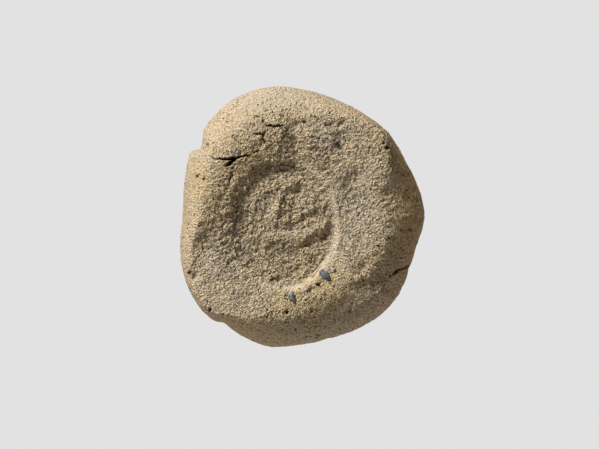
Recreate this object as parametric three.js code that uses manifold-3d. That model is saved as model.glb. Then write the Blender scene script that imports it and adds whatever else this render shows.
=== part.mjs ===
// A clay bulla: one lump of dried clay, pressed with an oval stamp seal.
// It lies on its back with the impression up. Millimetres, +Z up, +X to the right of the impression and
// +Y to its top. The origin is under the middle of the lump, on the surface that it lies on.

import * as THREE from 'three';
import { mergeVertices } from 'three/addons/utils/BufferGeometryUtils.js';
import Module from 'manifold-3d';

// Driving sizes
const girthHeights = [4.9, 5.2, 5.4, 5.2, 5.2, 5.4, 5.3, 5.3, 5.2, 5.0, 5.1, 5.1]; // widest line, every 30 degrees
const crownHeight = 11.3; // top of the rolled rim, before the relief
const nickReach = 1.4; // how far a nick in the outline runs inwards

// Plan outline: radius every 15 degrees from +X, turning towards +Y
const outlineRadii = [
  15.4, 15.0, 14.75, 15.05, 15.05, 15.3, 15.95, 16.75, 16.95, 16.55, 16.05, 15.15,
  14.9, 15.7, 16.6, 17.1, 16.75, 16.8, 16.05, 15.7, 15.75, 15.75, 15.2, 14.8,
];

// How far the rounded edge reaches in from the outline: above the girth and below it, at the same angles
const upperReach = [
  6.8, 5.8, 2.8, 0.9, 1.5, 2.6, 4.0, 4.6, 4.6, 4.2, 3.6, 3.0,
  2.6, 2.0, 1.0, 0.9, 2.6, 4.6, 6.2, 7.0, 7.6, 7.4, 6.2, 5.8,
];
const lowerReach = [6.2, 6.0, 6.4, 6.8, 7.0, 6.6, 6.2, 6.4, 6.8, 7.0, 6.6, 6.2];

// Nicks in the outline: angle, depth, and half width before and after that angle, in degrees
const nicks = [
  { angle: 146, depth: 0.95, before: 6, after: 2.2 },
  { angle: 234, depth: 0.45, before: 2.2, after: 5 },
  { angle: 282, depth: 0.12, before: 2, after: 1.5 },
  { angle: 334, depth: 0.15, before: 3, after: 2 },
];

// The field inside the rolled rim lies lower
const field = { x: -0.9, y: -0.9, halfWidth: 10.8, halfLength: 11.4, depth: 0.85, inner: 0.55, outer: 1.08 };

// The oval that the seal pressed, with a floor tilted by millimetres per millimetre. Its bulge, the depth at
// its rim as a share of the floor's, its slope and its lip vary round it, every 30 degrees from +X.
const pit = {
  x: -2.3, y: -1.05, halfWidth: 6.5, halfLength: 7.9, depth: 0.85, tiltX: 0.03, tiltY: -0.02,
};
const pitRound = [1.05, 1.01, 1, 1.02, 1.08, 1.09, 1.04, 1, 1, 1.04, 1.06, 1.08];
const pitWall = [1.15, 0.85, 0.75, 0.95, 0.85, 0.8, 0.75, 0.5, 0.35, 0.9, 1.1, 1.2];
const pitSlope = [0.11, 0.11, 0.16, 0.17, 0.2, 0.22, 0.22, 0.2, 0.2, 0.11, 0.12, 0.12];
const pitLip = [0.1, 0.1, 0.04, 0.02, 0.04, 0.04, 0, 0, 0.06, 0.18, 0.18, 0.12];
const lipPlace = 1.05;
const lipWidth = 0.045;

// Swellings and hollows: x, y, half length, half width, turn in degrees, height
const rimForms = [
  [-8.2, -5.7, 5.5, 4.25, -20, -0.6], // low ground at the lower left
  [-12.3, -4.2, 1.3, 2.4, 0, -0.5],
  [7.4, 1.4, 3.25, 4.25, 75, -0.33], // dish pressed by a finger, right of the oval
  [6.1, 3.3, 1.25, 3.25, 0, -0.15],
  [8.8, -2.9, 1.5, 3.25, -15, 0.22],
  [5.6, -3.5, 1.2, 3.0, -15, 0.25], // ground still rising outside the oval's right edge
  [-7.7, 9.8, 3.25, 2.25, 25, 0.2], // upper left lobe
  [8.6, 9.0, 3.75, 2.0, -50, 0.12], // upper right shoulder
  [11.8, 5.6, 2.4, 1.5, -60, 0.25],
  [3.6, 13.3, 5.0, 1.75, -22, 0.25],
  [-0.2, -10.2, 7.75, 1.9, 4, 0.25], // bottom roll
  [7.3, -11.0, 4.6, 2.0, 28, -0.85], // slope down to the lower right
  [6.2, -9.0, 3.0, 1.6, 35, -0.2],
  [9.2, -9.0, 3.0, 1.3, 35, -0.45],
  [11.2, -10.0, 2.4, 1.1, 40, 0.25], // lobe below the fold
  [-9.9, 6.4, 3.6, 2.0, 50, 0.25], // gentle ground inside the upper left rim
  [-8.3, 2.6, 1.6, 1.9, 0, 0.3],
  [-0.6, 6.2, 2.6, 1.1, -5, -0.25], // ground falling to the oval's top
  [5.2, 9.0, 1.6, 0.9, 50, -0.28],
  [0.8, 9.2, 1.7, 0.5, 82, 0.2], // low ridge right of the valley
  [3.0, 3.7, 2.2, 1.4, -55, -0.2],
  [5.2, 5.4, 1.8, 0.9, 35, 0.24], // knob by the oval's upper right
  [1.3, -9.1, 0.7, 0.5, 30, -0.4], // chipped hollow below the oval
  [-6.4, 7.3, 2.0, 0.75, 20, 0.14],
  [-11.9, 6.7, 1.1, 1.5, 0, 0.1],
  [7.6, -6.3, 1.1, 0.6, 50, -0.45],
  [-13.3, -7.6, 0.5, 0.5, 0, -0.35], // dent on the lower left edge
  [-7.7, -4.8, 1.0, 0.6, 30, -0.14],
  [-5.7, -5.9, 1.0, 0.6, 30, -0.14],
];

// Rolls and furrows that run along a line: x, y, half width, height at each point
const leftRoll = [
  [-10.8, 4.8, 1.7, 0.12], [-11.7, 2.1, 1.7, 0.38], [-12.5, -0.5, 1.5, 0.36],
  [-13.1, -1.8, 1.2, 0.2],
];
const rightCrest = [
  [10.2, 7.9, 1.3, 0.05], [9.2, 5.2, 1.4, 0.15], [9.6, 2.2, 1.4, 0.15], [10.0, 0.2, 1.4, 0.18],
  [10.4, -3.6, 1.3, 0.2], [10.4, -5.6, 1.2, 0.1],
];
const valley = [
  [-1.2, 12.4, 1.0, -0.2], [-0.9, 10.6, 1.2, -0.55], [-0.7, 8.8, 1.3, -0.65],
  [-0.2, 7.2, 1.3, -0.5], [0.6, 5.6, 1.3, -0.45], [1.5, 4.2, 1.2, -0.3], [2.2, 2.8, 1.0, -0.1],
];
const foldFurrow = [
  [6.7, -8.9, 0.6, -0.1], [7.9, -8.5, 0.6, -0.3], [9.7, -8.2, 0.6, -0.45],
  [10.8, -7.4, 0.6, -0.55], [12.1, -6.8, 0.7, -0.6], [13.6, -6.2, 0.8, -0.7],
];
const rolls = [leftRoll, rightCrest, valley, foldFurrow];

// The worn device inside the oval: a crescent band with shapeless remains above and below it
const crescent = [
  [-6.3, -3.0, 0.6, 0.1], [-4.1, -2.7, 0.8, 0.25], [-2.9, -2.6, 0.7, 0.25],
  [-1.5, -3.0, 0.5, 0.15], [0.2, -2.6, 0.6, 0.32], [1.7, -1.8, 0.6, 0.48], [3.2, -0.8, 0.45, 0.4],
];
const deviceForms = [
  [-4.5, 3.2, 1.2, 0.45, 8, 0.17], // brow over the upright
  [-2.85, 1.5, 0.5, 1.7, -14, 0.4], // upright
  [-5.8, 1.6, 0.45, 1.15, -10, 0.2],
  [-4.5, 1.3, 0.6, 0.9, -10, -0.18],
  [-1.4, 4.0, 0.9, 0.6, 35, 0.3],
  [-0.3, 3.2, 0.8, 0.5, 0, -0.3],
  [-0.8, 0.9, 0.5, 1.8, -5, -0.36],
  [1.7, 1.9, 1.4, 0.9, 50, 0.14],
  [0.9, 0.6, 1.2, 0.4, 30, 0.1],
  [0.5, -0.3, 1.1, 0.35, 30, -0.2],
  [-1.4, -1.6, 0.6, 0.6, 40, -0.36],
  [2.9, -2.4, 1.0, 0.42, 55, -0.5], // hollow under the crescent's tip
  [0.7, -3.6, 0.8, 0.5, 35, -0.34],
  [-1.4, -4.8, 1.3, 0.9, -15, -0.45],
  [-0.9, -6.5, 1.2, 1.0, 0, -0.25],
  [-4.6, -3.9, 0.35, 0.9, 0, 0.18],
  [-5.6, -4.5, 0.6, 0.8, 0, -0.18],
  [-3.2, -8.0, 0.8, 0.4, 10, -0.2],
  [1.4, -5.8, 2.4, 1.8, 45, -0.12],
];

// Open cracks in the rim: x, y, half width and depth at each point
const cracks = [
  [[-11.3, 7.4, 0, 0.2], [-10.4, 7.1, 0.12, 0.4], [-9.2, 7.05, 0.2, 0.45], [-8.5, 7.05, 0.26, 0.45],
    [-7.6, 7.35, 0.14, 0.4], [-6.3, 7.7, 0, 0.2]],
  [[-4.9, 11.5, 0, 0.2], [-4.2, 11.2, 0.12, 0.4], [-3.2, 11.2, 0.14, 0.4], [-2.3, 11.25, 0, 0.2]],
];

// Mesh fineness: the spacing of points round each ring, and the rings on each zone
const pointSpacing = 0.56;
const pitSpacing = 0.43; // closer, for the device
const pitShares = [
  0.08, 0.17, 0.26, 0.35, 0.44, 0.53, 0.61, 0.69, 0.76, 0.82, 0.87, 0.91, 0.95, 0.98, 1.01, 1.05, 1.12,
];
const fieldRings = 8;
const edgeRings = 13;
const lowerRings = 8;
const lowerRadius = 9; // keeps the rings under the girth coarser

const clayMaterial = new THREE.MeshStandardMaterial({ color: 0xa8926c, roughness: 0.95, metalness: 0 });

function ease(low, high, value) {
  const t = THREE.MathUtils.clamp((value - low) / (high - low), 0, 1);
  return t * t * (3 - 2 * t);
}

// A smooth closed curve through values spaced evenly round the circle, read at an angle in degrees
function around(values, degrees) {
  const count = values.length;
  const place = ((degrees % 360) + 360) % 360 / 360 * count;
  const index = Math.floor(place);
  const t = place - index;
  const [a, b, c, d] = [-1, 0, 1, 2].map((step) => values[(index + step + count) % count]);
  return b + 0.5 * t * (c - a + t * (2 * a - 5 * b + 4 * c - d + t * (3 * (b - c) + d - a)));
}

function nickDepth(degrees) {
  let depth = 0;
  for (const nick of nicks) {
    const offset = ((degrees - nick.angle + 540) % 360) - 180;
    depth += nick.depth * Math.exp(-((offset / (offset < 0 ? nick.before : nick.after)) ** 2));
  }
  return depth;
}

const outline = (degrees) => around(outlineRadii, degrees) - nickDepth(degrees);

// A rounded swelling, or a hollow where its height is negative
function swelling(x, y, [centreX, centreY, halfLength, halfWidth, turn, height]) {
  const angle = THREE.MathUtils.degToRad(turn);
  const along = (x - centreX) * Math.cos(angle) + (y - centreY) * Math.sin(angle);
  const across = (y - centreY) * Math.cos(angle) - (x - centreX) * Math.sin(angle);
  return height * Math.exp(-((along / halfLength) ** 2) - (across / halfWidth) ** 2);
}

const swellings = (x, y, forms) => forms.reduce((sum, form) => sum + swelling(x, y, form), 0);

// A rounded roll or furrow along a line, with the width and height of the nearest place on it
function roll(x, y, points) {
  let nearest = Infinity;
  let height = 0;
  for (let i = 1; i < points.length; i++) {
    const [x0, y0, width0, height0] = points[i - 1];
    const [x1, y1, width1, height1] = points[i];
    const lengthSquared = (x1 - x0) ** 2 + (y1 - y0) ** 2;
    const t = THREE.MathUtils.clamp(((x - x0) * (x1 - x0) + (y - y0) * (y1 - y0)) / lengthSquared, 0, 1);
    const offset = Math.hypot(x - x0 - t * (x1 - x0), y - y0 - t * (y1 - y0));
    const share = offset / THREE.MathUtils.lerp(width0, width1, t);
    if (share < nearest) {
      nearest = share;
      height = THREE.MathUtils.lerp(height0, height1, t);
    }
  }
  return height * Math.exp(-(nearest ** 2));
}

// The oval's floor, deeper or shallower towards the rim, with the device on it and a lip round it
function pitRelief(x, y) {
  const u = x - pit.x;
  const v = y - pit.y;
  const angle = THREE.MathUtils.radToDeg(Math.atan2(v, u));
  const share = Math.hypot(u / pit.halfWidth, v / pit.halfLength) / around(pitRound, angle);
  const floor = pit.depth + pit.tiltX * u + pit.tiltY * v;
  const atRim = 1 + (around(pitWall, angle) - 1) * Math.min(share, 1) ** 2;
  const wall = atRim * (1 - ease(1 - around(pitSlope, angle), 1.02, share));
  const device = (swellings(x, y, deviceForms) + roll(x, y, crescent)) * (1 - ease(0.8, 0.95, share));
  const lip = around(pitLip, angle) * Math.exp(-(((share - lipPlace) / lipWidth) ** 2));
  return device + lip - floor * wall;
}

function relief(x, y) {
  const fieldShare = Math.hypot((x - field.x) / field.halfWidth, (y - field.y) / field.halfLength);
  const sunken = field.depth * (1 - ease(field.inner, field.outer, fieldShare));
  const alongLines = rolls.reduce((sum, points) => sum + roll(x, y, points), 0);
  return swellings(x, y, rimForms) + alongLines + pitRelief(x, y) - sunken;
}

// The upper skin over a place in plan: a quarter ellipse in from the outline, then the relief on the crown
function upperPoint(x, y) {
  const degrees = THREE.MathUtils.radToDeg(Math.atan2(y, x));
  const inset = outline(degrees) - Math.hypot(x, y);
  const fade = Math.exp(-((inset / nickReach) ** 2));
  const gap = inset + nickDepth(degrees) * (1 - fade);
  const t = THREE.MathUtils.clamp(gap / around(upperReach, degrees), 0, 1);
  const girth = around(girthHeights, degrees);
  const dome = girth + (crownHeight - girth) * Math.sqrt(1 - (1 - t) ** 2);
  return [x, y, dome + relief(x, y) * ease(0.15, 0.8, t)];
}

// The lower skin: a quarter ellipse from the girth in to the flat underside
function lowerPoint(turn, degrees) {
  const [x, y] = fromOutline(around(lowerReach, degrees) * (1 - Math.cos(turn)), degrees);
  return [x, y, around(girthHeights, degrees) * (1 - Math.sin(turn))];
}

// A place in plan that lies inside the outline by an inset
function fromOutline(inset, degrees) {
  const angle = THREE.MathUtils.degToRad(degrees);
  const radius = outline(degrees) - inset;
  return [radius * Math.cos(angle), radius * Math.sin(angle)];
}

// A place on an oval that is a share of the pit's size
function onPitOval(share, degrees) {
  const angle = THREE.MathUtils.degToRad(degrees);
  const u = pit.halfWidth * share * Math.cos(angle);
  const v = pit.halfLength * share * Math.sin(angle);
  const bulge = around(pitRound, THREE.MathUtils.radToDeg(Math.atan2(v, u)));
  return [pit.x + u * bulge, pit.y + v * bulge];
}

// Rings of points from the middle of the pit, out over the girth, to the middle of the underside
function lumpRings() {
  const ringOf = (radius, place, spacing = pointSpacing) => {
    const count = 6 * Math.round(radius / spacing);
    return Array.from({ length: count }, (_, j) => place((360 * j) / count));
  };
  const pitRadius = (pit.halfWidth + pit.halfLength) / 2;
  const rimRadius = outlineRadii.reduce((sum, radius) => sum + radius, 0) / outlineRadii.length;
  const shoulderRadius = rimRadius - upperReach.reduce((sum, reach) => sum + reach, 0) / upperReach.length;
  const rings = [[upperPoint(pit.x, pit.y)]];
  for (const share of pitShares) {
    rings.push(ringOf(pitRadius * share, (degrees) => upperPoint(...onPitOval(share, degrees)), pitSpacing));
  }
  const lastShare = pitShares[pitShares.length - 1];
  for (let k = 1; k <= fieldRings; k++) {
    const t = k / fieldRings;
    rings.push(ringOf(THREE.MathUtils.lerp(pitRadius * lastShare, shoulderRadius, t), (degrees) => {
      const [x0, y0] = onPitOval(lastShare, degrees);
      const [x1, y1] = fromOutline(around(upperReach, degrees), degrees);
      return upperPoint(THREE.MathUtils.lerp(x0, x1, t), THREE.MathUtils.lerp(y0, y1, t));
    }));
  }
  for (let k = 1; k <= edgeRings; k++) {
    const share = 1 - Math.sin(((Math.PI / 2) * k) / edgeRings);
    rings.push(ringOf(THREE.MathUtils.lerp(rimRadius, shoulderRadius, share), (degrees) => {
      return upperPoint(...fromOutline(around(upperReach, degrees) * share, degrees));
    }));
  }
  for (let k = 1; k <= lowerRings; k++) {
    const turn = ((Math.PI / 2) * k) / lowerRings;
    rings.push(ringOf(lowerRadius, (degrees) => lowerPoint(turn, degrees)));
  }
  rings.push([[0, 0, 0]]);
  return rings;
}

// Triangles between two neighbouring rings: each edge joins the nearest point of the other ring
function stitch(inner, outer, startInner, startOuter, flip, faces) {
  const add = (a, b, c) => faces.push(...(flip ? [a, c, b] : [a, b, c]));
  for (let j = 0; j < outer; j++) {
    const facing = Math.floor(((2 * j + 1) * inner + outer) / (2 * outer)) % inner;
    add(startInner + facing, startOuter + j, startOuter + ((j + 1) % outer));
  }
  for (let i = 0; inner > 1 && i < inner; i++) {
    const facing = Math.ceil(((2 * i + 1) * outer - inner) / (2 * inner)) % outer;
    add(startInner + i, startOuter + facing, startInner + ((i + 1) % inner));
  }
}

function lumpGeometry() {
  const rings = lumpRings();
  const faces = [];
  let start = 0;
  for (let k = 1; k < rings.length; k++) {
    const next = start + rings[k - 1].length;
    const outwards = rings[k].length >= rings[k - 1].length;
    if (outwards) stitch(rings[k - 1].length, rings[k].length, start, next, false, faces);
    else stitch(rings[k].length, rings[k - 1].length, next, start, true, faces);
    start = next;
  }
  const geometry = new THREE.BufferGeometry();
  geometry.setAttribute('position', new THREE.Float32BufferAttribute(rings.flat(2), 3));
  geometry.setIndex(faces);
  return geometry;
}

// The space of an open crack: a wedge that follows the skin, widest at the top and pointed at both ends
function crackGeometry(points) {
  const overTop = 0.6;
  const positions = [];
  const faces = [];
  points.forEach(([x, y, halfWidth, depth], i) => {
    const before = points[Math.max(i - 1, 0)];
    const after = points[Math.min(i + 1, points.length - 1)];
    const length = Math.hypot(after[0] - before[0], after[1] - before[1]);
    const sideX = (-(after[1] - before[1]) / length) * halfWidth;
    const sideY = ((after[0] - before[0]) / length) * halfWidth;
    const skin = upperPoint(x, y)[2];
    const spread = (depth + overTop) / depth;
    if (halfWidth > 0) {
      positions.push(x + sideX * spread, y + sideY * spread, skin + overTop);
      positions.push(x - sideX * spread, y - sideY * spread, skin + overTop);
      positions.push(x, y, skin - depth);
    }
  });
  const [first, last] = [points[0], points[points.length - 1]];
  for (const [x, y, , depth] of [first, last]) {
    const skin = upperPoint(x, y)[2];
    positions.push(x, y, skin + overTop - depth);
  }
  const stations = points.length - 2;
  for (let i = 0; i < stations - 1; i++) {
    const [a, b, c] = [3 * i, 3 * i + 1, 3 * i + 2];
    const [d, e, f] = [a + 3, b + 3, c + 3];
    faces.push(a, b, e, a, e, d, b, c, f, b, f, e, c, a, d, c, d, f);
  }
  const start = 3 * stations;
  const end = start + 1;
  const tail = 3 * (stations - 1);
  faces.push(start, 1, 0, start, 2, 1, start, 0, 2);
  faces.push(end, tail, tail + 1, end, tail + 1, tail + 2, end, tail + 2, tail);
  const geometry = new THREE.BufferGeometry();
  geometry.setAttribute('position', new THREE.Float32BufferAttribute(positions, 3));
  geometry.setIndex(faces);
  return geometry;
}

const wasm = await Module();
wasm.setup();

function toSolid(geometry) {
  const merged = mergeVertices(geometry);
  const vertProperties = new Float32Array(merged.attributes.position.array);
  const triVerts = new Uint32Array(merged.index.array);
  return new wasm.Manifold(new wasm.Mesh({ numProp: 3, vertProperties, triVerts }));
}

function toGeometry(solid) {
  const mesh = solid.getMesh();
  const geometry = new THREE.BufferGeometry();
  geometry.setAttribute('position', new THREE.Float32BufferAttribute(mesh.vertProperties, 3));
  geometry.setIndex(Array.from(mesh.triVerts));
  geometry.computeVertexNormals();
  return geometry;
}

const lump = cracks.reduce((solid, crack) => solid.subtract(toSolid(crackGeometry(crack))), toSolid(lumpGeometry()));

const bulla = new THREE.Mesh(toGeometry(lump), clayMaterial);
bulla.name = 'bulla';

const group = new THREE.Group();
group.add(bulla);

export default group;
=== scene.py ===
import math

import bpy
import numpy as np
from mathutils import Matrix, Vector


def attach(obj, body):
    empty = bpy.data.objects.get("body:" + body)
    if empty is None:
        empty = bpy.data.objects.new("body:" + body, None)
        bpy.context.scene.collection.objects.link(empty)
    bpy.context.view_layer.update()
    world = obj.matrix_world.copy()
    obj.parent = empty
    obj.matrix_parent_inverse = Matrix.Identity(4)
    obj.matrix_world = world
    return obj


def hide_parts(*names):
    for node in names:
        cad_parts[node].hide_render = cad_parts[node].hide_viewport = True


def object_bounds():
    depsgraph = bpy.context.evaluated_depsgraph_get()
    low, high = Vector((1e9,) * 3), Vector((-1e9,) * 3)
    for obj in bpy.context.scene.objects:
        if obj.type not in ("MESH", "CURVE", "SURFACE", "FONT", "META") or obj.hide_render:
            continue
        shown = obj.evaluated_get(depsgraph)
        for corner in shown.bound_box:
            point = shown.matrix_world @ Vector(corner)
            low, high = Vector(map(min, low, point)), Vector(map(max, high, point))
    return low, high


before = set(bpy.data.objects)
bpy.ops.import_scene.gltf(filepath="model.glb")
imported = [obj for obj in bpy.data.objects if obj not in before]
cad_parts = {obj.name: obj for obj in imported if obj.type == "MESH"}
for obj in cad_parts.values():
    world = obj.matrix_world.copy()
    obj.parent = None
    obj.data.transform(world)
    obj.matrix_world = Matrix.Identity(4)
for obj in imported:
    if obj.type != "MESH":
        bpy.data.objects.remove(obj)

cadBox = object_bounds()
mm = 0.001

# Sizes are millimetres in the lump's own frame: X to the right of the impression, Y to its top, Z up

# The whole lump. Round it from +X, outlineRadii and upperReach go by 15 degrees, the other lists by 30
lump = dict(
    crownHeight=11.3,  # top of the rolled rim before the relief
    nickReach=1.4,  # how far a nick in the outline runs inwards
    reliefStart=0.15, reliefFull=0.8,  # shares of the rounding between which the relief sets in
    girthHeights=[4.9, 5.2, 5.4, 5.2, 5.2, 5.4, 5.3, 5.3, 5.2, 5.0, 5.1, 5.1],  # of the widest line
    outlineRadii=[15.4, 15.0, 14.75, 15.05, 15.05, 15.3, 15.95, 16.75, 16.95, 16.55, 16.05, 15.15,
                  14.9, 15.7, 16.6, 17.1, 16.75, 16.8, 16.05, 15.7, 15.75, 15.75, 15.2, 14.8],
    upperReach=[6.8, 5.8, 2.8, 0.9, 1.5, 2.6, 4.0, 4.6, 4.6, 4.2, 3.6, 3.0,
                2.6, 2.0, 1.0, 0.9, 2.6, 4.6, 6.2, 7.0, 7.6, 7.4, 6.2, 5.8],  # rounding in from the outline
    lowerReach=[6.2, 6.0, 6.4, 6.8, 7.0, 6.6, 6.2, 6.4, 6.8, 7.0, 6.6, 6.2],
    # angle and depth of each nick, and its span on either side in degrees
    nicks=[(146, 0.95, 6, 2.2), (234, 0.45, 2.2, 5), (282, 0.12, 2, 1.5), (334, 0.15, 3, 2)],
    field=dict(x=-0.9, y=-0.9, halfWidth=10.8, halfLength=11.4, depth=0.85, inner=0.55, outer=1.08),
)

# The pressed oval: its lists run round it from +X, every 30 degrees
pit = dict(
    x=-2.3, y=-1.05, halfWidth=6.5, halfLength=7.9, depth=0.85,
    tiltX=0.03, tiltY=-0.02,  # its floor lies deeper to the right and the bottom, mm per mm
    round=[1.05, 1.01, 1, 1.02, 1.08, 1.09, 1.04, 1, 1, 1.04, 1.06, 1.08],  # its reach against an ellipse
    wall=[1.15, 0.85, 0.75, 0.95, 0.85, 0.8, 0.75, 0.5, 0.35, 0.9, 1.1, 1.2],  # depth left at its edge
    slope=[0.11, 0.11, 0.16, 0.17, 0.2, 0.22, 0.22, 0.2, 0.2, 0.11, 0.12, 0.12],  # its wall's width
    lip=[0.1, 0.1, 0.04, 0.02, 0.04, 0.04, 0, 0, 0.06, 0.18, 0.18, 0.12],  # height of the lip round it
    wallEnd=1.02, lipPlace=1.05, lipWidth=0.045,  # in shares of the way from its middle to its edge
    deviceFull=0.8, deviceEnd=0.95,  # the device fades out between these shares
)

# Swellings and hollows: x, y, half length, half width, turn in degrees, height
rimForms = [
    (-8.2, -5.7, 5.5, 4.25, -20, -0.6),  # low ground at the lower left
    (-12.3, -4.2, 1.3, 2.4, 0, -0.5),
    (7.4, 1.4, 3.25, 4.25, 75, -0.33),  # dish pressed by a finger, right of the oval
    (6.1, 3.3, 1.25, 3.25, 0, -0.15),
    (8.8, -2.9, 1.5, 3.25, -15, 0.22),
    (5.6, -3.5, 1.2, 3.0, -15, 0.25),  # ground still rising outside the oval's right edge
    (-7.7, 9.8, 3.25, 2.25, 25, 0.2),  # upper left lobe
    (8.6, 9.0, 3.75, 2.0, -50, 0.12),  # upper right shoulder
    (11.8, 5.6, 2.4, 1.5, -60, 0.25),
    (3.6, 13.3, 5.0, 1.75, -22, 0.25),
    (-0.2, -10.2, 7.75, 1.9, 4, 0.25),  # bottom roll
    (7.3, -11.0, 4.6, 2.0, 28, -0.85),  # slope down to the lower right
    (6.2, -9.0, 3.0, 1.6, 35, -0.2),
    (9.2, -9.0, 3.0, 1.3, 35, -0.45),
    (11.2, -10.0, 2.4, 1.1, 40, 0.25),  # lobe below the fold
    (-9.9, 6.4, 3.6, 2.0, 50, 0.25),  # gentle ground inside the upper left rim
    (-8.3, 2.6, 1.6, 1.9, 0, 0.3),
    (-0.6, 6.2, 2.6, 1.1, -5, -0.25),  # ground falling to the oval's top
    (5.2, 9.0, 1.6, 0.9, 50, -0.28),
    (0.8, 9.2, 1.7, 0.5, 82, 0.2),  # low ridge right of the valley
    (3.0, 3.7, 2.2, 1.4, -55, -0.2),
    (5.2, 5.4, 1.8, 0.9, 35, 0.24),  # knob by the oval's upper right
    (6.95, 4.85, 0.8, 0.35, 90, -0.12),
    (3.4, 11.3, 0.5, 0.3, 20, -0.35),  # flake scars at the upper right
    (5.0, 11.5, 0.5, 0.3, 40, -0.35),
    (3.8, 10.5, 0.9, 0.3, 20, 0.12),
    (-0.55, 11.4, 0.45, 0.35, 0, -0.3),
    (1.3, -9.1, 0.7, 0.5, 30, -0.4),  # chipped hollow below the oval
    (-6.4, 7.3, 2.0, 0.75, 20, 0.14),
    (-11.9, 6.7, 1.1, 1.5, 0, 0.1),
    (7.6, -6.3, 1.1, 0.6, 50, -0.45),
    (-13.3, -7.6, 0.5, 0.5, 0, -0.35),  # dent on the lower left edge
    (-7.7, -4.8, 1.0, 0.6, 30, -0.14),
    (-5.7, -5.9, 1.0, 0.6, 30, -0.14),
]

# Rolls and furrows that run along a line: x, y, half width, height at each point
rolls = dict(
    leftRoll=[(-10.8, 4.8, 1.7, 0.12), (-11.7, 2.1, 1.7, 0.38), (-12.5, -0.5, 1.5, 0.36),
              (-13.1, -1.8, 1.2, 0.2)],
    rightCrest=[(10.2, 7.9, 1.3, 0.05), (9.2, 5.2, 1.4, 0.15), (9.6, 2.2, 1.4, 0.15), (10.0, 0.2, 1.4, 0.18),
                (10.4, -3.6, 1.3, 0.2), (10.4, -5.6, 1.2, 0.1)],
    valley=[(-1.2, 12.4, 1.0, -0.2), (-0.9, 10.6, 1.2, -0.55), (-0.7, 8.8, 1.3, -0.65),
            (-0.2, 7.2, 1.3, -0.5), (0.6, 5.6, 1.3, -0.45), (1.5, 4.2, 1.2, -0.3), (2.2, 2.8, 1.0, -0.1)],
    foldFurrow=[(6.7, -8.9, 0.6, -0.1), (7.9, -8.5, 0.6, -0.3), (9.7, -8.2, 0.6, -0.45),
                (10.8, -7.4, 0.6, -0.55), (12.1, -6.8, 0.7, -0.6), (13.6, -6.2, 0.8, -0.7)],
)

# The worn device inside the oval: a crescent band with shapeless remains above and below it
crescent = [(-6.3, -3.0, 0.6, 0.1), (-4.1, -2.7, 0.8, 0.25), (-2.9, -2.6, 0.7, 0.25), (-1.5, -3.0, 0.5, 0.15),
            (0.2, -2.6, 0.6, 0.32), (1.7, -1.8, 0.6, 0.48), (3.2, -0.8, 0.45, 0.4)]
deviceForms = [
    (-4.5, 3.2, 1.2, 0.45, 8, 0.17),  # brow over the upright
    (-2.85, 1.5, 0.5, 1.7, -14, 0.4),  # upright
    (-5.8, 1.6, 0.45, 1.15, -10, 0.2),
    (-4.5, 1.3, 0.6, 0.9, -10, -0.18),
    (-1.4, 4.0, 0.9, 0.6, 35, 0.3),
    (-0.3, 3.2, 0.8, 0.5, 0, -0.3),
    (-0.8, 0.9, 0.5, 1.8, -5, -0.36),
    (1.7, 1.9, 1.4, 0.9, 50, 0.14),
    (0.9, 0.6, 1.2, 0.4, 30, 0.1),
    (0.5, -0.3, 1.1, 0.35, 30, -0.2),
    (-1.4, -1.6, 0.6, 0.6, 40, -0.36),
    (2.9, -2.4, 1.0, 0.42, 55, -0.5),  # hollow under the crescent's tip
    (0.7, -3.6, 0.8, 0.5, 35, -0.34),
    (-1.4, -4.8, 1.3, 0.9, -15, -0.45),
    (-0.9, -6.5, 1.2, 1.0, 0, -0.25),
    (-4.6, -3.9, 0.35, 0.9, 0, 0.18),
    (-5.6, -4.5, 0.6, 0.8, 0, -0.18),
    (-3.2, -8.0, 0.8, 0.4, 10, -0.2),
    (1.4, -5.8, 2.4, 1.8, 45, -0.12),
]

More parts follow.
